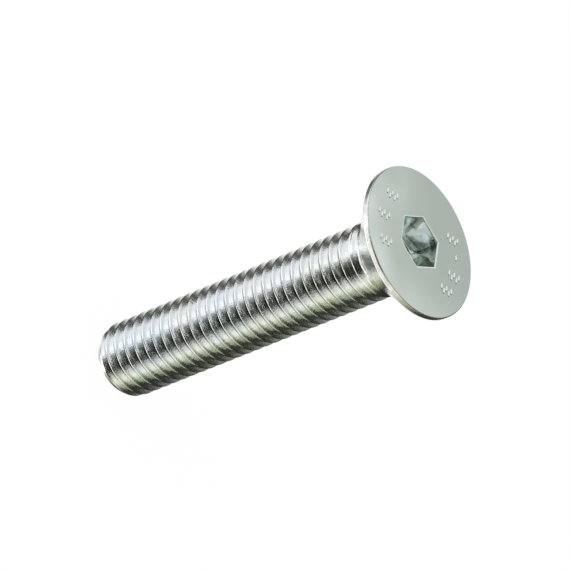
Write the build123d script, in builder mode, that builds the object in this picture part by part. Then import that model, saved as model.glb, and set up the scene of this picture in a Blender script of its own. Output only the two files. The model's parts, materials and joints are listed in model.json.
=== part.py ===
from build123d import *
import math
import os

# Countersunk socket screw, M8 x 40, fully threaded, one forged and rolled piece.
# The screw stands on its threaded end: the origin is the centre of the end face,
# +Z runs up the screw's axis to the face of the head, and all sizes are millimetres.

# Driving sizes: overall
screw_length = 40.0

# Driving sizes: thread, with the 60 degree metric profile
thread_diameter = 7.9
thread_pitch = 1.25
thread_angle = 60.0
thread_start_angle = 130.0
tip_diameter = 6.65
tip_length = 1.1

# Driving sizes: plain neck under the head, of the blank's own diameter, and below it the
# shoulder where the crests end and the height over which the groove runs out
neck_diameter = 7.2
neck_length = 0.35
neck_fillet = 0.4
shoulder_length = 0.35
run_out_length = 1.65

# Driving sizes: head
head_diameter = 15.7
land_height = 0.66
cone_angle = 90.0
face_edge_radius = 0.25
land_edge_radius = 0.12

# Driving sizes: hexagon socket, with the conical floor that the punch leaves
socket_across_flats = 5.0
socket_depth = 3.5
socket_floor_angle = 120.0
socket_edge_break = 0.12
socket_angle = 14.7

# Thread profile: a crest flat of an eighth of the pitch, and a root flat of a sixth,
# which gives a rolled external thread's full depth
crest_flat = thread_pitch / 8
root_flat = thread_pitch / 6
flank_slope = math.tan(math.radians(thread_angle / 2))
thread_depth = (thread_pitch - crest_flat - root_flat) / 2 / flank_slope
crest_radius = thread_diameter / 2
root_radius = crest_radius - thread_depth

# Heights up the axis
head_radius = head_diameter / 2
neck_radius = neck_diameter / 2
land_bottom = screw_length - land_height
cone_bottom = land_bottom - (head_radius - neck_radius) / math.tan(math.radians(cone_angle / 2))
neck_bottom = cone_bottom - neck_length
shoulder_bottom = neck_bottom - shoulder_length
run_out_bottom = shoulder_bottom - run_out_length

# Thread cutter: one turn of the groove. It reaches past the crests by less than the height
# at which its two ends would meet the turns beside them.
cutter_clearance = crest_flat / 4 / flank_slope
cutter_reach = thread_depth + cutter_clearance
cutter_half_root = root_flat / 2
cutter_half_mouth = cutter_half_root + cutter_reach * flank_slope

# Taper on which the groove runs out. It starts inside the core, a pitch below the place
# where it comes out through the groove's root.
run_out_slope = thread_depth / run_out_length
taper_bottom = run_out_bottom - thread_pitch
taper_bottom_radius = root_radius - thread_pitch * run_out_slope

# Turns of groove, from a pitch below the end face to at least a pitch above the neck's bottom
groove_turns = math.ceil(neck_bottom / thread_pitch) + 2
groove_angle = thread_start_angle + 180.0
turn_places = [
    Location((0, 0, (turn - 1) * thread_pitch), (0, 0, groove_angle))
    for turn in range(groove_turns)
]

# One turn of the right-hand groove, swept along its root helix
with BuildPart() as groove_turn:
    with BuildLine() as groove_path:
        Helix(thread_pitch, thread_pitch, root_radius)
    groove_start = groove_path.line @ 0
    groove_plane = Plane(origin=groove_start, x_dir=groove_start, z_dir=groove_path.line % 0)
    with BuildSketch(groove_plane):
        with BuildLine():
            Polyline(
                (0, -cutter_half_root),
                (cutter_reach, -cutter_half_mouth),
                (cutter_reach, cutter_half_mouth),
                (0, cutter_half_root),
                close=True,
            )
        make_face()
    sweep(path=groove_path.line, is_frenet=True)

with BuildPart() as screw:
    # Shank at crest size, with its chamfered end, up to the shoulder
    with BuildSketch(Plane.XZ):
        with BuildLine():
            Polyline(
                (0, 0),
                (tip_diameter / 2, 0),
                (crest_radius, tip_length),
                (crest_radius, shoulder_bottom),
                (0, shoulder_bottom),
                close=True,
            )
        make_face()
    revolve(axis=Axis.Z)

    # Thread groove, all its turns in one cut
    with Locations(*turn_places):
        add(groove_turn.part, mode=Mode.SUBTRACT)

    # Head: land, cone, neck, shoulder, and the taper on which the groove runs out
    with BuildSketch(Plane.XZ) as head_profile:
        with BuildLine():
            Polyline(
                (0, taper_bottom),
                (taper_bottom_radius, taper_bottom),
                (crest_radius, shoulder_bottom),
                (neck_radius, neck_bottom),
                (neck_radius, cone_bottom),
                (head_radius, land_bottom),
                (head_radius, screw_length),
                (0, screw_length),
                close=True,
            )
        make_face()
        outline = head_profile.vertices()
        fillet(outline.sort_by_distance((head_radius, screw_length))[0], face_edge_radius)
        fillet(outline.sort_by_distance((head_radius, land_bottom))[0], land_edge_radius)
        fillet(outline.sort_by_distance((neck_radius, cone_bottom))[0], neck_fillet)
    revolve(axis=Axis.Z)

    # Hexagon socket with its conical floor
    floor_depth = socket_across_flats / 2 / math.tan(math.radians(socket_floor_angle / 2))
    with BuildSketch(Plane.XY.offset(screw_length)):
        RegularPolygon(socket_across_flats / 2, 6, major_radius=False, rotation=socket_angle)
    extrude(amount=-socket_depth, mode=Mode.SUBTRACT)
    with Locations((0, 0, screw_length - socket_depth - floor_depth / 2)):
        Cone(0, socket_across_flats / 2, floor_depth, mode=Mode.SUBTRACT)
    mouth = screw.faces().sort_by(Axis.Z)[-1].inner_wires()[0]
    chamfer(mouth.edges(), socket_edge_break)

screw.part.label = "screw"

os.makedirs("parts", exist_ok=True)
export_step(screw.part, "parts/screw.step")
print("screw volume", round(screw.part.volume, 1), "mm3, valid:", screw.part.is_valid)
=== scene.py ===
"""Countersunk hexagon socket screw, M8 x 40, zinc plated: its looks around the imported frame."""

import json
import logging
import math
from dataclasses import dataclass
from enum import IntEnum
from typing import Any, Callable, Optional

import bmesh
import bpy
from mathutils import Matrix, Vector

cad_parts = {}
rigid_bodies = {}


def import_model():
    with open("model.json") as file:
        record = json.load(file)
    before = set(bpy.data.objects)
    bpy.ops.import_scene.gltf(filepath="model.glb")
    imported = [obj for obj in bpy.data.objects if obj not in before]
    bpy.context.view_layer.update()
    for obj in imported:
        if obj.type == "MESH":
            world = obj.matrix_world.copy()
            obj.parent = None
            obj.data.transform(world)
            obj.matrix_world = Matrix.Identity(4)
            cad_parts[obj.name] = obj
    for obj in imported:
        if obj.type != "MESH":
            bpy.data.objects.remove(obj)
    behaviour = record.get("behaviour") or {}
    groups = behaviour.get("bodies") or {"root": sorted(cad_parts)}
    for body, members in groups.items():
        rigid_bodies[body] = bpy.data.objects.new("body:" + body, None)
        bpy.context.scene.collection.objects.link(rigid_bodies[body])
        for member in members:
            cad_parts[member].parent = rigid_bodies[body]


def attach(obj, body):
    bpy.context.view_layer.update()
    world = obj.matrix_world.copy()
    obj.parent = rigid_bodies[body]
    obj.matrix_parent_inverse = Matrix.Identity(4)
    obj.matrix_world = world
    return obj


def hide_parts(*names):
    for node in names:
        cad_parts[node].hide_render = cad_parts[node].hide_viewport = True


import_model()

LOG = logging.getLogger("screw")
MM = 0.001
BODY = "root"
NODE = "screw"
WHITE = "#FFFFFF"

# Degrees that one side of a hexagon takes up, seen from its middle
HEXAGON_SIDE = 60

# A noise texture's lowest, middle and highest values, because few of them come near 0 or 1
NOISE_LOW = 0.3
NOISE_MIDDLE = 0.5
NOISE_HIGH = 0.7

Point = tuple[float, float]
Formula = list[tuple[Any, ...]]


class Zone(IntEnum):
    """Surfaces of the one steel piece that were made in different ways, as material indices."""

    THREAD = 0
    CONE = 1
    FACE = 2
    SOCKET = 3
    LAND = 4


def linear(hex_colour: str) -> tuple[float, float, float, float]:
    """Turns an sRGB hex colour to linear RGBA, by the sRGB standard's curve.

    Args:
        hex_colour: a colour such as "#C7CCC9".

    Returns:
        The linear red, green and blue, and an alpha of 1.
    """
    parts = [int(hex_colour[i : i + 2], 16) / 255 for i in (1, 3, 5)]
    red, green, blue = (c / 12.92 if c <= 0.04045 else ((c + 0.055) / 1.055) ** 2.4 for c in parts)
    return red, green, blue, 1.0


def add_node(
    tree: bpy.types.NodeTree,
    kind: str,
    settings: Optional[dict[str, Any]] = None,
    inputs: Optional[dict[Any, Any]] = None,
) -> bpy.types.Node:
    """Adds a node with its settings and its inputs.

    Args:
        tree: the node tree that gets it.
        kind: the node's type name.
        settings: properties to set on the node.
        inputs: for each input's name or number, a value or another node's output.

    Returns:
        The new node.
    """
    node = tree.nodes.new(kind)
    for name, value in (settings or {}).items():
        setattr(node, name, value)
    for key, value in (inputs or {}).items():
        if isinstance(value, bpy.types.NodeSocket):
            tree.links.new(value, node.inputs[key])
        else:
            node.inputs[key].default_value = value
    return node


def add_formula(tree: bpy.types.NodeTree, formula: Formula, values: dict[str, Any]) -> None:
    """Adds a formula to a node tree.

    Args:
        tree: the node tree that gets it.
        formula: lines that hold a result's name, a Math operation and its terms, each of
            which is a number or the name of a value.
        values: the named outputs that the terms may use. Each result is added to them.
    """
    for result, operation, *terms in formula:
        inputs = {i: values[term] if isinstance(term, str) else term for i, term in enumerate(terms)}
        values[result] = add_node(tree, "ShaderNodeMath", {"operation": operation}, inputs).outputs[0]


def cleared_tree(owner: bpy.types.ID) -> bpy.types.NodeTree:
    """Turns on a material's or a world's nodes, and removes those it starts with.

    Args:
        owner: the material or the world.

    Returns:
        Its empty node tree.
    """
    owner.use_nodes = True
    owner.node_tree.nodes.clear()
    return owner.node_tree


def add_object(name: str, data: bpy.types.ID) -> bpy.types.Object:
    """Adds an object to the scene.

    Args:
        name: the object's name.
        data: its mesh, light or camera.

    Returns:
        The object, at the origin.
    """
    added = bpy.data.objects.new(name, data)
    bpy.context.scene.collection.objects.link(added)
    return added


def rounded_profile(corners: list[tuple[float, float, float]], steps: int, support: float) -> list[Point]:
    """Rounds the corners of an open profile.

    Args:
        corners: radius, height and rounding radius of each corner, in millimetres.
        steps: facets in each rounding.
        support: length of the short facet kept beside each rounding, so that the long
            flat beside it shades flat.

    Returns:
        The points of the rounded profile.
    """
    points: list[Point] = []
    last = len(corners) - 1
    for index, (r, z, rounding) in enumerate(corners):
        here = Vector((r, z))
        if rounding == 0 or index in (0, last):
            points.append((r, z))
            continue
        back = (Vector(corners[index - 1][:2]) - here).normalized()
        ahead = (Vector(corners[index + 1][:2]) - here).normalized()
        half_turn = (math.pi - back.angle(ahead)) / 2
        reach = rounding * math.tan(half_turn)
        centre = here + (back + ahead).normalized() * (rounding / math.cos(half_turn))
        start = here + back * reach - centre
        turn = math.copysign(2 * half_turn, start.x * ahead.y - start.y * ahead.x)
        points.append(tuple(here + back * (reach + support)))
        for step in range(steps + 1):
            spoke = Matrix.Rotation(turn * step / steps, 2) @ start
            points.append(tuple(centre + spoke))
        points.append(tuple(here + ahead * (reach + support)))
    return points


@dataclass
class ScrewSizes:
    """Real sizes of the screw, in millimetres and degrees: the CAD part's, but for a sharper face edge.

    Attributes:
        mark_height: height of the raised marks, by which the bare face lies under the CAD part's.
        columns: facets round the axis.
    """

    length: float = 40.0
    crest_radius: float = 3.95
    pitch: float = 1.25
    thread_angle: float = 60.0
    thread_start_angle: float = 130.0
    tip_radius: float = 3.325
    tip_length: float = 1.1
    neck_radius: float = 3.6
    neck_length: float = 0.35
    neck_rounding: float = 0.4
    shoulder_length: float = 0.35
    run_out_length: float = 1.65
    head_radius: float = 7.85
    land_height: float = 0.66
    face_rounding: float = 0.14
    land_rounding: float = 0.12
    across_flats: float = 5.0
    socket_depth: float = 3.5
    socket_angle: float = 14.7
    floor_angle: float = 120.0
    mouth_rounding: float = 0.12
    mark_height: float = 0.09
    columns: int = 120

    @property
    def flank_slope(self) -> float:
        """Rise of a flank along the axis for each millimetre of radius."""
        return math.tan(math.radians(self.thread_angle / 2))

    @property
    def root_half_flat(self) -> float:
        """Half of the root's flat, a twelfth of the pitch."""
        return self.pitch / 12

    @property
    def root_radius(self) -> float:
        """Radius at the bottom of the groove, below a crest flat of an eighth of the pitch."""
        depth = (self.pitch * 7 / 8 - 2 * self.root_half_flat) / 2 / self.flank_slope
        return self.crest_radius - depth

    @property
    def face_height(self) -> float:
        """Height of the bare face, which the raised marks bring up to the full length."""
        return self.length - self.mark_height

    @property
    def land_bottom(self) -> float:
        """Height of the edge between the land and the cone."""
        return self.length - self.land_height

    @property
    def cone_bottom(self) -> float:
        """Height at which the 90 degree cone meets the neck."""
        return self.land_bottom - (self.head_radius - self.neck_radius)

    @property
    def neck_bottom(self) -> float:
        """Height of the neck's lower end, at the top of the shoulder."""
        return self.cone_bottom - self.neck_length

    @property
    def shoulder_bottom(self) -> float:
        """Height at which the crests end."""
        return self.neck_bottom - self.shoulder_length

    @property
    def run_out_bottom(self) -> float:
        """Height at which the groove starts to run out."""
        return self.shoulder_bottom - self.run_out_length

    @property
    def join_height(self) -> float:
        """Height on the neck at which the thread's mesh and the head's meet."""
        return (self.neck_bottom + self.cone_bottom) / 2 - self.neck_length / 4


@dataclass
class ThreadedShank:
    """Rolled thread, from its chamfered end to the neck, as a grid wound along its helix.

    Attributes:
        rows_per_pitch: rows of the grid in each pitch.
        end_rows: rows that close the flat end.
        spare_rows: rows past the thread's mesh, whose points fall on its last ring.
        crest_rounding: depth over which crest and flank blend, in millimetres like the rest.
        run_out_rounding: depth over which the groove and the taper under the head blend.
        shoulder_rounding: depth over which the shoulder blends with the crests and the neck.
        tip_rounding: depth over which the crests and the end's chamfer blend.
        weld: distance within which two points become one.
    """

    sizes: ScrewSizes
    rows_per_pitch: int = 16
    end_rows: int = 6
    spare_rows: int = 2
    crest_rounding: float = 0.1
    run_out_rounding: float = 0.15
    shoulder_rounding: float = 0.12
    tip_rounding: float = 0.25
    weld: float = 0.008

    def inputs(self) -> dict[str, float]:
        """Works out the tree's inputs.

        Returns:
            The named inputs with their values, in millimetres, degrees or counts.
        """
        s = self.sizes
        row = s.pitch / self.rows_per_pitch
        end_length = self.end_rows * row
        # A turn climbs a pitch, so the grid starts a pitch low and ends a pitch high
        rows = math.ceil((s.join_height + end_length + 2 * s.pitch) / row) + self.spare_rows
        return {
            "Columns": s.columns,
            "Rows": rows,
            "Row Height": row,
            "Pitch": s.pitch,
            "End Length": end_length,
            "Seam Angle": s.socket_angle,
            "Crest Angle": s.thread_start_angle,
            "Crest Radius": s.crest_radius,
            "Root Radius": s.root_radius,
            "Root Half Flat": s.root_half_flat,
            "Flank Slope": s.flank_slope,
            "Crest Rounding": self.crest_rounding,
            "Tip Radius": s.tip_radius,
            "Tip Length": s.tip_length,
            "Tip Rounding": self.tip_rounding,
            "Neck Radius": s.neck_radius,
            "Shoulder Bottom": s.shoulder_bottom,
            "Shoulder Length": s.shoulder_length,
            "Run-out Bottom": s.run_out_bottom,
            "Run-out Length": s.run_out_length,
            "Run-out Rounding": self.run_out_rounding,
            "Shoulder Rounding": self.shoulder_rounding,
            "Join Height": s.join_height,
        }

    def formula(self) -> Formula:
        """Gives the thread's shape as a formula.

        Returns:
            Lines from the grid's x and y to a point's x, y and z.
        """
        return [
            # Place on the grid, which is 1 by 1 about its middle, and the height it is wound to
            ("turn", "ADD", "grid x", 0.5),
            ("rise", "ADD", "grid y", 0.5),
            ("winding", "MULTIPLY", "turn", "Pitch"),
            ("full height", "MULTIPLY", "Rows", "Row Height"),
            ("low", "ADD", "End Length", "Pitch"),
            ("climb", "MULTIPLY_ADD", "rise", "full height", "winding"),
            ("raw height", "SUBTRACT", "climb", "low"),
            ("above end", "MAXIMUM", "raw height", 0.0),
            ("height", "MINIMUM", "above end", "Join Height"),
            # Distance along the axis from the middle of the groove
            ("seam offset", "SUBTRACT", "Seam Angle", "Crest Angle"),
            ("seam share", "DIVIDE", "seam offset", 360.0),
            ("crest offset", "MULTIPLY", "seam share", "Pitch"),
            ("unwound", "SUBTRACT", "height", "winding"),
            ("from a crest", "SUBTRACT", "unwound", "crest offset"),
            ("half pitch", "MULTIPLY", "Pitch", 0.5),
            ("to crest", "PINGPONG", "from a crest", "half pitch"),
            ("to groove", "SUBTRACT", "half pitch", "to crest"),
            # Groove with straight flanks and a rounded root
            ("root round", "DIVIDE", "Root Half Flat", "Flank Slope"),
            ("flank apex", "SUBTRACT", "Root Radius", "root round"),
            ("flank rise", "DIVIDE", "to groove", "Flank Slope"),
            ("rise squared", "MULTIPLY", "flank rise", "flank rise"),
            ("round squared", "MULTIPLY", "root round", "root round"),
            ("flank sum", "ADD", "rise squared", "round squared"),
            ("flank root", "SQRT", "flank sum"),
            ("groove", "ADD", "flank apex", "flank root"),
            # Taper on which the groove runs out
            ("past run-out", "SUBTRACT", "height", "Run-out Bottom"),
            ("run-out share", "DIVIDE", "past run-out", "Run-out Length"),
            ("depth", "SUBTRACT", "Crest Radius", "Root Radius"),
            ("taper", "MULTIPLY_ADD", "run-out share", "depth", "Root Radius"),
            ("floor", "SMOOTH_MAX", "groove", "taper", "Run-out Rounding"),
            # Crests, between the end's chamfer and the shoulder at the neck
            ("crest over tip", "SUBTRACT", "Crest Radius", "Tip Radius"),
            ("tip share", "DIVIDE", "height", "Tip Length"),
            ("chamfer", "MULTIPLY_ADD", "tip share", "crest over tip", "Tip Radius"),
            ("neck under crest", "SUBTRACT", "Neck Radius", "Crest Radius"),
            ("past shoulder", "SUBTRACT", "height", "Shoulder Bottom"),
            ("shoulder share", "DIVIDE", "past shoulder", "Shoulder Length"),
            ("slope", "MULTIPLY_ADD", "shoulder share", "neck under crest", "Crest Radius"),
            ("shoulder", "SMOOTH_MAX", "slope", "Neck Radius", "Shoulder Rounding"),
            ("chamfered", "SMOOTH_MIN", "Crest Radius", "chamfer", "Tip Rounding"),
            ("crests", "SMOOTH_MIN", "chamfered", "shoulder", "Shoulder Rounding"),
            ("outer radius", "SMOOTH_MIN", "crests", "floor", "Crest Rounding"),
            # Rows below the end close its flat face
            ("past end", "ADD", "raw height", "Row Height"),
            ("end share", "DIVIDE", "past end", "End Length"),
            ("open share", "ADD", "end share", 1.0),
            ("not over one", "MINIMUM", "open share", 1.0),
            ("shrink", "MAXIMUM", "not over one", 0.0),
            ("radius", "MULTIPLY", "outer radius", "shrink"),
            # Round the axis, in metres
            ("turned", "MULTIPLY", "turn", 360.0),
            ("degrees", "ADD", "turned", "Seam Angle"),
            ("angle", "RADIANS", "degrees"),
            ("cosine", "COSINE", "angle"),
            ("sine", "SINE", "angle"),
            ("metre radius", "MULTIPLY", "radius", MM),
            ("x", "MULTIPLY", "metre radius", "cosine"),
            ("y", "MULTIPLY", "metre radius", "sine"),
            ("z", "MULTIPLY", "height", MM),
        ]

    def tree(self, material: bpy.types.Material) -> bpy.types.NodeTree:
        """Builds the Geometry Nodes tree that winds the thread.

        Args:
            material: the finish of the thread.

        Returns:
            The tree, whose named inputs are those of inputs().
        """
        tree = bpy.data.node_groups.new("rolled_thread", "GeometryNodeTree")
        tree.interface.new_socket("Geometry", in_out="OUTPUT", socket_type="NodeSocketGeometry")
        counts = ("Columns", "Rows")
        for name in self.inputs():
            kind = "NodeSocketInt" if name in counts else "NodeSocketFloat"
            tree.interface.new_socket(name, in_out="INPUT", socket_type=kind)
        given = add_node(tree, "NodeGroupInput")
        values: dict[str, Any] = {name: given.outputs[name] for name in self.inputs()}

        one_more = {"operation": "ADD"}
        across = add_node(tree, "ShaderNodeMath", one_more, {0: values["Columns"], 1: 1.0})
        along = add_node(tree, "ShaderNodeMath", one_more, {0: values["Rows"], 1: 1.0})
        grid = add_node(
            tree,
            "GeometryNodeMeshGrid",
            inputs={
                "Size X": 1.0,
                "Size Y": 1.0,
                "Vertices X": across.outputs[0],
                "Vertices Y": along.outputs[0],
            },
        )
        position = add_node(tree, "GeometryNodeInputPosition")
        split = add_node(tree, "ShaderNodeSeparateXYZ", inputs={0: position.outputs[0]})
        values["grid x"], values["grid y"] = split.outputs[0], split.outputs[1]
        add_formula(tree, self.formula(), values)

        place = add_node(
            tree, "ShaderNodeCombineXYZ", inputs={0: values["x"], 1: values["y"], 2: values["z"]}
        )
        wound = add_node(
            tree,
            "GeometryNodeSetPosition",
            inputs={"Geometry": grid.outputs["Mesh"], "Position": place.outputs[0]},
        )
        welded = add_node(
            tree,
            "GeometryNodeMergeByDistance",
            inputs={"Geometry": wound.outputs[0], "Distance": self.weld * MM},
        )
        real = add_node(tree, "GeometryNodeRealizeInstances", inputs={"Geometry": welded.outputs[0]})
        dressed = add_node(
            tree, "GeometryNodeSetMaterial", inputs={"Geometry": real.outputs[0], "Material": material}
        )
        add_node(tree, "NodeGroupOutput", inputs={0: dressed.outputs[0]})
        return tree

    def build(self, material: bpy.types.Material) -> bpy.types.Mesh:
        """Returns the thread as a plain mesh, open at the neck."""
        return mesh_from_tree("threaded_shank", self.tree(material), self.inputs())


def mesh_from_tree(
    name: str,
    tree: bpy.types.NodeTree,
    inputs: dict[str, float],
    start: Optional[bpy.types.Mesh] = None,
) -> bpy.types.Mesh:
    """Evaluates a Geometry Nodes tree once.

    Args:
        name: the new mesh's name.
        tree: the tree.
        inputs: the values of its named inputs.
        start: the mesh that the tree starts from, if it has one.

    Returns:
        The result as a plain mesh.
    """
    carrier = add_object(name + "_maker", start or bpy.data.meshes.new(name + "_seed"))
    modifier = carrier.modifiers.new(name, "NODES")
    modifier.node_group = tree
    for item in tree.interface.items_tree:
        if item.in_out == "INPUT" and item.name in inputs:
            modifier[item.identifier] = inputs[item.name]
    graph = bpy.context.evaluated_depsgraph_get()
    mesh = bpy.data.meshes.new_from_object(carrier.evaluated_get(graph), depsgraph=graph)
    carrier.modifiers.remove(modifier)
    bpy.data.objects.remove(carrier)
    mesh.name = name
    return mesh


@dataclass
class CountersunkHead:
    """Forged head: neck, cone, land, flat face and punched hexagon socket.

    Attributes:
        rounding_steps: facets in each rounding.
        support: width of the short facets beside each rounding, in millimetres.
        face_rings: places of the face's rings, as shares of the way from its edge to the socket.
        wall_rings: facets down the socket's wall.
        floor_rings: facets from the wall to the middle of the floor.
    """

    sizes: ScrewSizes
    rounding_steps: int = 6
    support: float = 0.02
    face_rings: tuple[float, ...] = (0.25, 0.5, 0.75, 0.93)
    wall_rings: int = 6
    floor_rings: int = 8

    def outline(self) -> list[tuple[Zone, Point]]:
        """Works out the head's profile from the neck to the face's edge.

        Returns:
            The zone of each point, and its radius and height in millimetres.
        """
        s = self.sizes
        # The last point lies clear of the face's rounding and of the short facet beside it
        face_edge = s.head_radius - s.face_rounding - 4 * self.support
        corners = [
            (s.neck_radius, s.join_height, 0.0),
            (s.neck_radius, s.cone_bottom, s.neck_rounding),
            (s.head_radius, s.land_bottom, s.land_rounding),
            (s.head_radius, s.face_height, s.face_rounding),
            (face_edge, s.face_height, 0.0),
        ]
        points = rounded_profile(corners, self.rounding_steps, self.support)
        # A rounding has a point more than its facets, and a short facet's point on each side.
        # The zones change in the middle of the roundings at the land's two edges.
        corner_points = self.rounding_steps + 3
        face_points = 1 + corner_points // 2
        cone_points = len(points) - corner_points - face_points
        zones = [Zone.CONE] * cone_points + [Zone.LAND] * corner_points + [Zone.FACE] * face_points
        return list(zip(zones, points))

    def hexagon(self, apothem: float, angle: float) -> float:
        """Returns the socket's radius at an angle in degrees, for a hexagon of that apothem."""
        from_flat = (angle - self.sizes.socket_angle) % HEXAGON_SIDE - HEXAGON_SIDE / 2
        return apothem / math.cos(math.radians(from_flat))

    def rings(self) -> list[tuple[Zone, list[Vector]]]:
        """Works out the head's rings of points, from the neck to the socket's floor.

        Returns:
            The zone of each ring, and its points in metres.
        """
        s = self.sizes
        angles = [s.socket_angle + 360 * k / s.columns for k in range(s.columns)]
        apothem = s.across_flats / 2
        outline = self.outline()
        rings: list[tuple[Zone, list[Vector]]] = []

        def ring(zone: Zone, height: float, radius_at: Callable[[float], float]) -> None:
            """Adds a ring.

            Args:
                zone: the ring's zone.
                height: its height.
                radius_at: gives its radius at an angle in degrees.
            """
            points = []
            for angle in angles:
                radius = radius_at(angle)
                turn = math.radians(angle)
                points.append(Vector((radius * math.cos(turn), radius * math.sin(turn), height)) * MM)
            rings.append((zone, points))

        for zone, (radius, height) in outline:
            ring(zone, height, lambda _, radius=radius: radius)

        # Flat face, whose rings turn from a circle to the hexagon of the socket's mouth
        face_edge = outline[-1][1][0]
        mouth = apothem + s.mouth_rounding + self.support
        for share in self.face_rings:
            ring(
                Zone.FACE,
                s.face_height,
                lambda angle, share=share: face_edge + (self.hexagon(mouth, angle) - face_edge) * share,
            )
        ring(Zone.FACE, s.face_height, lambda angle: self.hexagon(mouth, angle))
        for step in range(self.rounding_steps + 1):
            bend = math.pi / 2 * step / self.rounding_steps
            inward = apothem + s.mouth_rounding * (1 - math.sin(bend))
            drop = s.mouth_rounding * (1 - math.cos(bend))
            ring(Zone.SOCKET, s.face_height - drop, lambda angle, inward=inward: self.hexagon(inward, angle))

        # Socket's wall and its conical floor
        wall_top = s.face_height - s.mouth_rounding - self.support
        wall_bottom = s.length - s.socket_depth
        for step in range(self.wall_rings + 1):
            height = wall_top + (wall_bottom - wall_top) * step / self.wall_rings
            ring(Zone.SOCKET, height, lambda angle: self.hexagon(apothem, angle))
        ring(Zone.SOCKET, wall_bottom, lambda _: apothem - self.support)
        floor_drop = apothem / math.tan(math.radians(s.floor_angle / 2))
        for step in range(1, self.floor_rings):
            share = step / self.floor_rings
            ring(Zone.SOCKET, wall_bottom - floor_drop * share, lambda _, share=share: apothem * (1 - share))
        rings.append((Zone.SOCKET, [Vector((0, 0, wall_bottom - floor_drop)) * MM]))
        return rings

    def add_to(self, mesh: bmesh.types.BMesh) -> None:
        """Adds the head's faces to a mesh.

        Args:
            mesh: the mesh that gets them, whose faces' material index is their zone.
        """
        rings = self.rings()
        made = [[mesh.verts.new(point) for point in points] for _, points in rings]
        for (zone, _), lower, upper in zip(rings[1:], made, made[1:]):
            for k, corner in enumerate(lower):
                beside = lower[(k + 1) % len(lower)]
                if len(upper) == 1:
                    loop = [corner, beside, upper[0]]
                else:
                    loop = [corner, beside, upper[(k + 1) % len(upper)], upper[k]]
                mesh.faces.new(loop).material_index = zone


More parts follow.
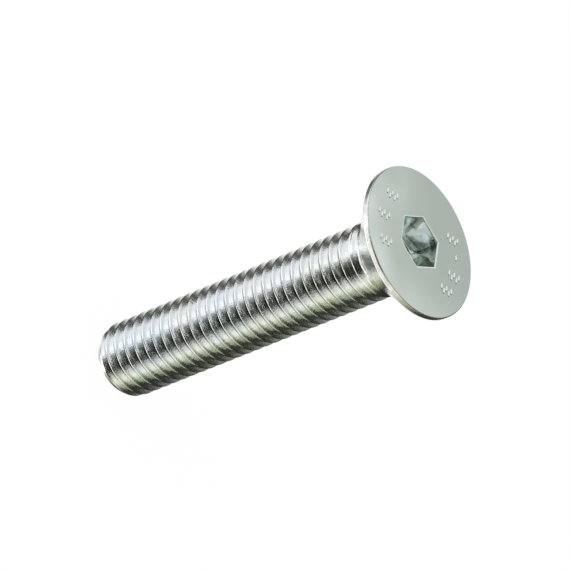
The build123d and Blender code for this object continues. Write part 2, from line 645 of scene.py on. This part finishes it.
@dataclass(frozen=True)
class PlatedFinish:
    """Zinc plating over steel, with its clear chromate film, on a surface made in one way.

    Attributes:
        name: the material's name.
        tints: sRGB colours that the film drifts through.
        tint_mm: size of a patch of tint.
        shade_drift: painted shading, as the share of the tints that the film moves through for each
            millimetre along X, Y and Z.
        roughness: roughness of the smoothest and roughest patches.
        grain_mm: size of the surface's grain.
        grain_depth_mm: height of the grain.
        wave_mm: size of the slow unevenness of the surface.
        wave_depth_mm: height of that unevenness.
        root_shade_mm: distances from the axis between which the painted shade in the thread's root fades
            out.
        root_shade_tint: sRGB colour of that painted shade.
    """

    name: str
    tints: tuple[str, str, str]
    tint_mm: float
    roughness: tuple[float, float]
    grain_mm: float
    grain_depth_mm: float
    wave_mm: float
    wave_depth_mm: float
    shade_drift: tuple[float, float, float] = (0.0, 0.0, 0.0)
    root_shade_mm: Optional[tuple[float, float]] = None
    root_shade_tint: str = WHITE

    def film(self, tree: bpy.types.NodeTree, where: bpy.types.NodeSocket) -> bpy.types.NodeSocket:
        """Adds the nodes of the film's colour, with the painted shading and the painted shade in the root
        where the finish has them.

        Args:
            tree: the material's node tree.
            where: the Object coordinates.

        Returns:
            The output that holds the colour.
        """
        patches = add_node(
            tree,
            "ShaderNodeTexNoise",
            inputs={"Vector": where, "Scale": 1 / (self.tint_mm * MM), "Detail": 2.0, "Roughness": 0.5},
        )
        # Painted shading: the tints shift along X, Y and Z, so one side comes out lighter than the other
        across = add_node(
            tree,
            "ShaderNodeVectorMath",
            {"operation": "DOT_PRODUCT"},
            {0: where, 1: tuple(share / MM for share in self.shade_drift)},
        )
        share = add_node(
            tree,
            "ShaderNodeMath",
            {"operation": "ADD"},
            {0: patches.outputs["Fac"], 1: across.outputs["Value"]},
        )
        ramp = add_node(tree, "ShaderNodeValToRGB", inputs={"Fac": share.outputs[0]})
        stops = ramp.color_ramp.elements
        stops.new(NOISE_MIDDLE)
        for stop, place, tint in zip(stops, (NOISE_LOW, NOISE_MIDDLE, NOISE_HIGH), self.tints):
            stop.position = place
            stop.color = linear(tint)
        if self.root_shade_mm is None:
            return ramp.outputs["Color"]

        # Painted shade: darker colour in the thread's root, by the distance from the screw's axis
        level = (1.0, 1.0, 0.0)
        flat = add_node(tree, "ShaderNodeVectorMath", {"operation": "MULTIPLY"}, {0: where, 1: level})
        reach = add_node(tree, "ShaderNodeVectorMath", {"operation": "LENGTH"}, {0: flat.outputs[0]})
        clear = add_node(
            tree,
            "ShaderNodeMapRange",
            inputs={
                "Value": reach.outputs["Value"],
                "From Min": self.root_shade_mm[0] * MM,
                "From Max": self.root_shade_mm[1] * MM,
            },
        )
        root_shaded = add_node(
            tree,
            "ShaderNodeMix",
            {"data_type": "RGBA"},
            {"Factor": clear.outputs["Result"], "A": linear(self.root_shade_tint), "B": ramp.outputs["Color"]},
        )
        return root_shaded.outputs["Result"]

    def material(self) -> bpy.types.Material:
        """Builds the finish's material.

        Returns:
            A procedural material on Object coordinates.
        """
        material = bpy.data.materials.new(self.name)
        tree = cleared_tree(material)
        where = add_node(tree, "ShaderNodeTexCoord").outputs["Object"]
        colour = self.film(tree, where)
        grain = add_node(
            tree,
            "ShaderNodeTexNoise",
            inputs={"Vector": where, "Scale": 1 / (self.grain_mm * MM), "Detail": 3.0, "Roughness": 0.6},
        )
        wave = add_node(
            tree,
            "ShaderNodeTexNoise",
            inputs={"Vector": where, "Scale": 1 / (self.wave_mm * MM), "Detail": 1.0, "Roughness": 0.4},
        )
        rough = add_node(
            tree,
            "ShaderNodeMapRange",
            inputs={
                "Value": grain.outputs["Fac"],
                "From Min": NOISE_LOW,
                "From Max": NOISE_HIGH,
                "To Min": self.roughness[0],
                "To Max": self.roughness[1],
            },
        )
        waved = add_node(
            tree,
            "ShaderNodeBump",
            inputs={"Distance": self.wave_depth_mm * MM, "Height": wave.outputs["Fac"]},
        )
        grained = add_node(
            tree,
            "ShaderNodeBump",
            inputs={
                "Distance": self.grain_depth_mm * MM,
                "Height": grain.outputs["Fac"],
                "Normal": waved.outputs["Normal"],
            },
        )
        shader = add_node(
            tree,
            "ShaderNodeBsdfPrincipled",
            inputs={
                "Base Color": colour,
                "Metallic": 1.0,
                "Roughness": rough.outputs["Result"],
                "Normal": grained.outputs["Normal"],
            },
        )
        add_node(tree, "ShaderNodeOutputMaterial", inputs={"Surface": shader.outputs[0]})
        return material


# The grain of the steel under the plating is a few hundredths of a millimetre, too fine to show.
# Each finish draws it several times coarser, and deeper to match.

# Rolled thread: the dies burnish it, so it mirrors the most, with painted shade darkening its root
THREAD_FINISH = PlatedFinish(
    "zinc_plate_on_rolled_thread",
    tints=("#EEF4F5", "#F5F7F7", "#F2F3EE"),
    tint_mm=6.0,
    roughness=(0.05, 0.13),
    grain_mm=0.19,
    grain_depth_mm=0.018,
    wave_mm=1.2,
    wave_depth_mm=0.012,
    # Painted shade: the thread's root is painted darker between these distances from the axis
    root_shade_mm=(3.19, 3.33),
    root_shade_tint="#5E605A",
)

# Cone and neck: struck in the header's die, smooth, with brownish specks of thick chromate
CONE_FINISH = PlatedFinish(
    "zinc_plate_on_headed_cone",
    tints=("#EAF5F3", "#F0F4F1", "#D3C3B8"),
    tint_mm=0.45,
    roughness=(0.09, 0.22),
    grain_mm=0.18,
    grain_depth_mm=0.018,
    wave_mm=0.9,
    wave_depth_mm=0.015,
)

# Land, and the flat end: where the tumbled screws knock together, so the plating is satin and pale
LAND_FINISH = PlatedFinish(
    "zinc_plate_on_tumbled_land",
    tints=("#FCFCFA", "#FAFAF7", "#ECE2DA"),
    tint_mm=0.6,
    roughness=(0.2, 0.34),
    grain_mm=0.18,
    grain_depth_mm=0.012,
    wave_mm=0.9,
    wave_depth_mm=0.02,
)

# Face: satin, because the tumbled blank's fine grain shows through the plating. Its tints drift as painted
# shading, lighter towards the front (-Y) and darker towards the back
FACE_FINISH = PlatedFinish(
    "zinc_plate_on_tumbled_face",
    tints=("#D2DAD7", "#B7C1BC", "#AEB8B3"),
    tint_mm=12.0,
    roughness=(0.34, 0.42),
    grain_mm=0.1,
    grain_depth_mm=0.0015,
    wave_mm=2.5,
    wave_depth_mm=0.004,
    # Painted shading: the face is painted lighter at the front and darker at the back
    shade_drift=(0.007, 0.03, 0.0),
)

# Socket: burnished and left wavy by the punch, with a faint blue-green film
SOCKET_FINISH = PlatedFinish(
    "zinc_plate_in_punched_socket",
    tints=("#E8F2F1", "#ECF3F1", "#EEF2EC"),
    tint_mm=1.5,
    roughness=(0.08, 0.16),
    grain_mm=0.12,
    grain_depth_mm=0.003,
    wave_mm=0.9,
    wave_depth_mm=0.03,
)

# Raised marks: pressed sharp by the punch and rubbed bright by the other screws
MARK_FINISH = PlatedFinish(
    "zinc_plate_on_raised_marks",
    tints=("#F0F2F2", "#F2F4F2", "#EEEEEA"),
    tint_mm=2.0,
    roughness=(0.16, 0.26),
    grain_mm=0.1,
    grain_depth_mm=0.002,
    wave_mm=0.5,
    wave_depth_mm=0.004,
)

FINISHES = {
    Zone.THREAD: THREAD_FINISH,
    Zone.CONE: CONE_FINISH,
    Zone.FACE: FACE_FINISH,
    Zone.SOCKET: SOCKET_FINISH,
    Zone.LAND: LAND_FINISH,
}


@dataclass
class Screw:
    """The whole screw as one closed mesh, thread and head welded at the neck.

    Attributes:
        weld_mm: distance within which two points become one.
        crease_degrees: angle between two faces from which their edge is sharp.
    """

    sizes: ScrewSizes
    weld_mm: float = 0.01
    crease_degrees: float = 38.0

    def build(self, materials: dict[Zone, bpy.types.Material]) -> bpy.types.Object:
        """Builds the screw.

        Args:
            materials: the finish of each zone.

        Returns:
            The screw's object, at the origin.
        """
        shank = ThreadedShank(self.sizes).build(materials[Zone.THREAD])
        body = bmesh.new()
        body.from_mesh(shank)
        for face in body.faces:
            on_end = face.calc_center_median().z < self.weld_mm * MM
            face.material_index = Zone.LAND if on_end else Zone.THREAD
        CountersunkHead(self.sizes).add_to(body)
        bmesh.ops.remove_doubles(body, verts=body.verts, dist=self.weld_mm * MM)
        bmesh.ops.recalc_face_normals(body, faces=body.faces)
        open_edges = sum(1 for edge in body.edges if not edge.is_manifold)
        mesh = bpy.data.meshes.new("screw_body")
        body.to_mesh(mesh)
        body.free()
        bpy.data.meshes.remove(shank)
        for zone in Zone:
            mesh.materials.append(materials[zone])
        mesh.shade_smooth()
        mesh.set_sharp_from_angle(angle=math.radians(self.crease_degrees))
        piece = add_object("screw_body", mesh)
        LOG.info("screw_body: %d faces, %d open edges", len(mesh.polygons), open_edges)
        return piece


@dataclass
class FaceMarks:
    """Plain raised ticks on the head's face, in two arcs of small clusters.

    Attributes:
        arc_radius: distance of a cluster's middle from the axis, in millimetres like the rest.
        tick_gap: distance from one tick of a cluster to the next.
        tick_angle: degrees from +X to a tick's length.
        tick_segments: facets round a tick.
        tick_rings: facets of a tick from top to bottom.
        cluster_steps: places of a cluster's ticks, in gaps from its middle.
        cluster_angles: places of the clusters round the axis, in degrees from +X.
        single_angles: places of the ticks that stand alone.
    """

    sizes: ScrewSizes
    arc_radius: float = 5.45
    tick_length: float = 0.78
    tick_width: float = 0.26
    tick_gap: float = 0.36
    tick_angle: float = -38.0
    tick_segments: int = 20
    tick_rings: int = 12
    cluster_steps: tuple[int, ...] = (-2, -1, 0, 1, 2)
    cluster_angles: tuple[float, ...] = (-165.5, -135.0, -105.0, 79.0, 35.0, 11.0)
    single_angles: tuple[float, ...] = (57.0,)

    def feet(self) -> list[Vector]:
        """Works out where the ticks stand.

        Returns:
            The middle of each tick on the face, in metres.
        """
        tilt = Matrix.Rotation(math.radians(self.tick_angle), 2)
        beside = tilt @ Vector((0.0, self.tick_gap))
        along = tilt @ Vector((self.tick_length / 4, 0.0))
        feet = []
        for angles, steps in ((self.cluster_angles, self.cluster_steps), (self.single_angles, (0,))):
            for angle in angles:
                middle = Matrix.Rotation(math.radians(angle), 2) @ Vector((self.arc_radius, 0.0))
                for step in steps:
                    # Odd ticks lie ahead of the middle and even ones behind it
                    x, y = middle + beside * step + along * (1 if step % 2 else -1)
                    feet.append(Vector((x, y, self.sizes.face_height)) * MM)
        return feet

    def inputs(self) -> dict[str, float]:
        """Works out the tree's inputs.

        Returns:
            The named inputs with their values, in metres and radians.
        """
        return {
            "Tick Half Length": self.tick_length / 2 * MM,
            "Tick Half Width": self.tick_width / 2 * MM,
            "Tick Height": self.sizes.mark_height * MM,
            "Tick Angle": math.radians(self.tick_angle),
        }

    def tree(self, material: bpy.types.Material) -> bpy.types.NodeTree:
        """Builds the Geometry Nodes tree that sets a rounded tick on each foot.

        Args:
            material: the finish of the ticks.

        Returns:
            The tree, whose named inputs are those of inputs().
        """
        tree = bpy.data.node_groups.new("raised_ticks", "GeometryNodeTree")
        tree.interface.new_socket("Geometry", in_out="INPUT", socket_type="NodeSocketGeometry")
        for name in self.inputs():
            tree.interface.new_socket(name, in_out="INPUT", socket_type="NodeSocketFloat")
        tree.interface.new_socket("Geometry", in_out="OUTPUT", socket_type="NodeSocketGeometry")
        given = add_node(tree, "NodeGroupInput").outputs
        ball = add_node(
            tree,
            "GeometryNodeMeshUVSphere",
            inputs={"Segments": self.tick_segments, "Rings": self.tick_rings, "Radius": 1.0},
        )
        size = add_node(
            tree,
            "ShaderNodeCombineXYZ",
            inputs={0: given["Tick Half Length"], 1: given["Tick Half Width"], 2: given["Tick Height"]},
        )
        turn = add_node(tree, "ShaderNodeCombineXYZ", inputs={2: given["Tick Angle"]})
        tick = add_node(
            tree,
            "GeometryNodeTransform",
            inputs={"Geometry": ball.outputs["Mesh"], "Scale": size.outputs[0], "Rotation": turn.outputs[0]},
        )
        points = add_node(tree, "GeometryNodeMeshToPoints", inputs={"Mesh": given["Geometry"]})
        placed = add_node(
            tree,
            "GeometryNodeInstanceOnPoints",
            inputs={"Points": points.outputs[0], "Instance": tick.outputs[0]},
        )
        real = add_node(tree, "GeometryNodeRealizeInstances", inputs={"Geometry": placed.outputs[0]})
        smooth = add_node(tree, "GeometryNodeSetShadeSmooth", inputs={"Geometry": real.outputs[0]})
        dressed = add_node(
            tree, "GeometryNodeSetMaterial", inputs={"Geometry": smooth.outputs[0], "Material": material}
        )
        add_node(tree, "NodeGroupOutput", inputs={0: dressed.outputs[0]})
        return tree

    def build(self, material: bpy.types.Material) -> bpy.types.Object:
        """Builds the marks.

        Args:
            material: the marks' finish.

        Returns:
            The marks' object, at the origin.
        """
        feet = bpy.data.meshes.new("tick_feet")
        feet.from_pydata(self.feet(), [], [])
        mesh = mesh_from_tree("face_marks", self.tree(material), self.inputs(), feet)
        piece = add_object("face_marks", mesh)
        LOG.info("face_marks: %d faces", len(mesh.polygons))
        return piece


@dataclass(frozen=True)
class SoftBox:
    """An upright soft box that the metal reflects, by its azimuth round the screw.

    Attributes:
        azimuth: its middle in degrees, from the front (-Y) towards +X.
        width: its width in degrees, at the screw's level.
        softness: degrees over which each edge fades.
        strength: its brightness, where 1 is white.
        tint: its sRGB colour.
        lean: degrees that its middle moves for each degree up.
        spread: degrees that its width grows for each degree up.
        fade: strength that it loses for each degree above the level.
    """

    azimuth: float
    width: float
    softness: float
    strength: float
    tint: str
    lean: float = 0.0
    spread: float = 0.0
    fade: float = 0.0


@dataclass(frozen=True)
class SoftBand:
    """A level glow that the metal reflects, such as a ceiling's or a table's.

    Attributes:
        start: elevation in degrees at which it starts.
        full: elevation in degrees at which it is at its full strength.
        strength: its brightness, where 1 is white.
        tint: its sRGB colour.
    """

    start: float
    full: float
    strength: float
    tint: str


@dataclass
class Studio:
    """White room, pale floor, one soft lamp, and the soft boxes that the metal reflects.

    Attributes:
        floor_radius: radius of the floor, in millimetres.
        floor_sides: facets of its edge.
        floor_colour: sRGB colour of its matt surface, which takes the screw's shadow.
        floor_glow: share of it that is plain white to the camera instead.
        dark_room: sRGB colour that the metal reflects between the soft boxes.
        lamp_energy: power of the lamp, in watts.
        lamp_size: side of the lamp, in millimetres.
        lamp_place: place of the lamp, in millimetres.
    """

    sizes: ScrewSizes
    floor_radius: float = 4000.0
    floor_sides: int = 96
    floor_colour: str = "#F7F7F7"
    floor_glow: float = 0.96
    dark_room: str = "#2A2E26"
    lamp_energy: float = 0.35
    lamp_size: float = 300.0
    lamp_place: tuple[float, float, float] = (-260.0, -120.0, 420.0)
    boxes: tuple[SoftBox, ...] = (
        # Towards -X: the main box, and a dim one beside it
        SoftBox(-74, 64, 24, 1.06, "#F8FAFF", lean=-0.16, spread=0.38, fade=0.006),
        SoftBox(-44, 36, 30, 0.32, "#F4F6F8", fade=0.002),
        # Low in front, opening downwards from 22 degrees under the level
        SoftBox(-8, -90, 12, 1.1, "#FFFFF8", spread=-4.0),
        # Towards +X: a plain box, and a green one beside it
        SoftBox(42, 36, 26, 0.74, "#FFFDFF", lean=0.12, fade=0.008),
        SoftBox(66, 46, 26, 0.43, "#F7FFDC", lean=-0.08),
        # Behind: the box that the head's face mirrors, and two dim ones beside it
        SoftBox(190, 50, 22, 1.0, "#FFFFFD"),
        SoftBox(150, 6, 20, 0.29, "#FBFFF4", spread=0.9),
        SoftBox(-128, 36, 30, 0.05, "#FFFFF4"),
    )
    bands: tuple[SoftBand, ...] = (
        # Ceiling, and the table under the screw
        SoftBand(56, 80, 0.03, "#FAFFFF"),
        SoftBand(-55, -75, 0.3, WHITE),
    )

    def formula(self) -> Formula:
        """Gives the soft boxes' light as a formula.

        Returns:
            Lines from a direction's x, y and z to the degrees by which it is inside each box,
            and the box's strength there.
        """
        lines: Formula = [
            ("front", "MULTIPLY", "y", -1.0),
            ("turn", "ARCTAN2", "x", "front"),
            ("azimuth", "DEGREES", "turn"),
            ("lift", "ARCSINE", "z"),
            ("above", "DEGREES", "lift"),
            ("over level", "MAXIMUM", "above", 0.0),
        ]
        for i, box in enumerate(self.boxes):
            lines += [
                (f"middle {i}", "MULTIPLY_ADD", "above", box.lean, box.azimuth),
                (f"from middle {i}", "SUBTRACT", "azimuth", f"middle {i}"),
                (f"wrapped {i}", "WRAP", f"from middle {i}", 180.0, -180.0),
                (f"off middle {i}", "ABSOLUTE", f"wrapped {i}"),
                (f"half width {i}", "MULTIPLY_ADD", "above", box.spread / 2, box.width / 2),
                (f"inside {i}", "SUBTRACT", f"half width {i}", f"off middle {i}"),
                (f"strength {i}", "MULTIPLY_ADD", "over level", -box.fade, box.strength),
            ]
        return lines

    def room(self) -> None:
        """Sets the world: plain white, in which reflections show the soft boxes and bands."""
        world = bpy.data.worlds.new("white_room")
        tree = cleared_tree(world)
        toward = add_node(tree, "ShaderNodeTexCoord").outputs["Generated"]
        split = add_node(tree, "ShaderNodeSeparateXYZ", inputs={0: toward})
        values: dict[str, Any] = {"x": split.outputs[0], "y": split.outputs[1], "z": split.outputs[2]}
        add_formula(tree, self.formula(), values)

        # Each box and band adds its light to the dark room, smoothly across its edge
        total: Any = linear(self.dark_room)
        covers: list[tuple[Any, ...]] = [
            (values[f"inside {i}"], -box.softness / 2, box.softness / 2, values[f"strength {i}"], box.tint)
            for i, box in enumerate(self.boxes)
        ]
        covers += [(values["above"], band.start, band.full, band.strength, band.tint) for band in self.bands]
        for value, start, full, strength, tint in covers:
            cover = add_node(
                tree,
                "ShaderNodeMapRange",
                {"interpolation_type": "SMOOTHSTEP"},
                {"Value": value, "From Min": start, "From Max": full, "To Min": 0.0, "To Max": strength},
            )
            lit = add_node(
                tree,
                "ShaderNodeMix",
                {"data_type": "RGBA", "blend_type": "ADD"},
                {"Factor": cover.outputs["Result"], "A": total, "B": linear(tint)},
            )
            total = lit.outputs["Result"]
        reflected = add_node(tree, "ShaderNodeBackground", inputs={"Color": total})
        plain = add_node(tree, "ShaderNodeBackground", inputs={"Color": linear(WHITE)})
        path = add_node(tree, "ShaderNodeLightPath")
        mixed = add_node(
            tree,
            "ShaderNodeMixShader",
            inputs={0: path.outputs["Is Glossy Ray"], 1: plain.outputs[0], 2: reflected.outputs[0]},
        )
        add_node(tree, "ShaderNodeOutputWorld", inputs={"Surface": mixed.outputs[0]})
        bpy.context.scene.world = world

    def floor(self) -> None:
        """Builds the pale floor, which is white to the camera but keeps the screw's shadow."""
        material = bpy.data.materials.new("white_floor")
        tree = cleared_tree(material)
        matt = add_node(tree, "ShaderNodeBsdfDiffuse", inputs={"Color": linear(self.floor_colour)})
        glow = add_node(tree, "ShaderNodeEmission", inputs={"Color": linear(WHITE)})
        path = add_node(tree, "ShaderNodeLightPath")
        share = add_node(
            tree,
            "ShaderNodeMath",
            {"operation": "MULTIPLY"},
            {0: path.outputs["Is Camera Ray"], 1: self.floor_glow},
        )
        mixed = add_node(
            tree, "ShaderNodeMixShader", inputs={0: share.outputs[0], 1: matt.outputs[0], 2: glow.outputs[0]}
        )
        add_node(tree, "ShaderNodeOutputMaterial", inputs={"Surface": mixed.outputs[0]})

        mesh = bpy.data.meshes.new("floor")
        disc = bmesh.new()
        bmesh.ops.create_circle(
            disc, cap_ends=True, segments=self.floor_sides, radius=self.floor_radius * MM
        )
        disc.to_mesh(mesh)
        disc.free()
        mesh.materials.append(material)
        floor = add_object("floor", mesh)
        floor.visible_glossy = False

    def lamp(self) -> None:
        """Hangs the one soft lamp, which faces the screw's middle."""
        data = bpy.data.lights.new("soft_lamp", "AREA")
        data.shape = "SQUARE"
        data.size = self.lamp_size * MM
        data.energy = self.lamp_energy
        lamp = add_object("soft_lamp", data)
        lamp.location = Vector(self.lamp_place) * MM
        middle = Vector((0, 0, self.sizes.length / 2)) * MM
        lamp.rotation_mode = "QUATERNION"
        lamp.rotation_quaternion = (middle - lamp.location).to_track_quat("-Z", "Y")
        lamp.visible_glossy = False

    def build(self) -> None:
        """Builds the whole studio."""
        self.room()
        self.floor()
        self.lamp()
        LOG.info("studio: floor, lamp, %d soft boxes, %d bands", len(self.boxes), len(self.bands))


@dataclass
class PhotoCamera:
    """The photograph's camera: a long lens, looking down at the head and turned on its axis.

    Attributes:
        aim: point in the middle of the picture, in millimetres.
        distance: distance from it to the camera, in millimetres.
        backward: direction from it to the camera.
        rightward: direction towards the right of the picture.
        image_pixels: side of the square picture.
        focal_pixels: focal length, in pixels of the picture.
        sensor_mm: width of the sensor.
        clip_mm: nearest and farthest distances that the camera sees.
    """

    aim: tuple[float, float, float] = (-1.052, -8.183, 28.829)
    distance: float = 490.0
    backward: tuple[float, float, float] = (0.0, -0.8095, 0.5871)
    rightward: tuple[float, float, float] = (0.37605, 0.5440, 0.7501)
    image_pixels: float = 570.0
    focal_pixels: float = 5030.4
    sensor_mm: float = 36.0
    clip_mm: tuple[float, float] = (50.0, 20000.0)

    def build(self) -> bpy.types.Object:
        """Builds the camera and makes it the scene's.

        Returns:
            The camera's object.
        """
        data = bpy.data.cameras.new("photo_camera")
        data.sensor_width = self.sensor_mm
        data.lens = self.focal_pixels / self.image_pixels * self.sensor_mm
        data.clip_start, data.clip_end = (limit * MM for limit in self.clip_mm)
        back = Vector(self.backward).normalized()
        up = back.cross(Vector(self.rightward)).normalized()
        right = up.cross(back)
        place = (Vector(self.aim) + back * self.distance) * MM
        camera = add_object("photo_camera", data)
        camera.matrix_world = Matrix.Translation(place) @ Matrix((right, up, back)).transposed().to_4x4()
        bpy.context.scene.camera = camera
        LOG.info("photo_camera: lens %.1f mm", data.lens)
        return camera


def main() -> None:
    """Builds the screw, its studio and its camera, in order."""
    logging.basicConfig(level=logging.INFO, format="%(name)s: %(message)s")
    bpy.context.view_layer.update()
    sizes = ScrewSizes()
    materials = {zone: FINISHES[zone].material() for zone in Zone}

    body = Screw(sizes).build(materials)
    marks = FaceMarks(sizes).build(MARK_FINISH.material())
    for piece in (body, marks):
        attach(piece, BODY)
        LOG.info("%s rides on %s", piece.name, BODY)
    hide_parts(NODE)

    Studio(sizes).build()
    PhotoCamera().build()
    bpy.context.scene.view_settings.view_transform = "Standard"


if __name__ == "__main__":
    main()
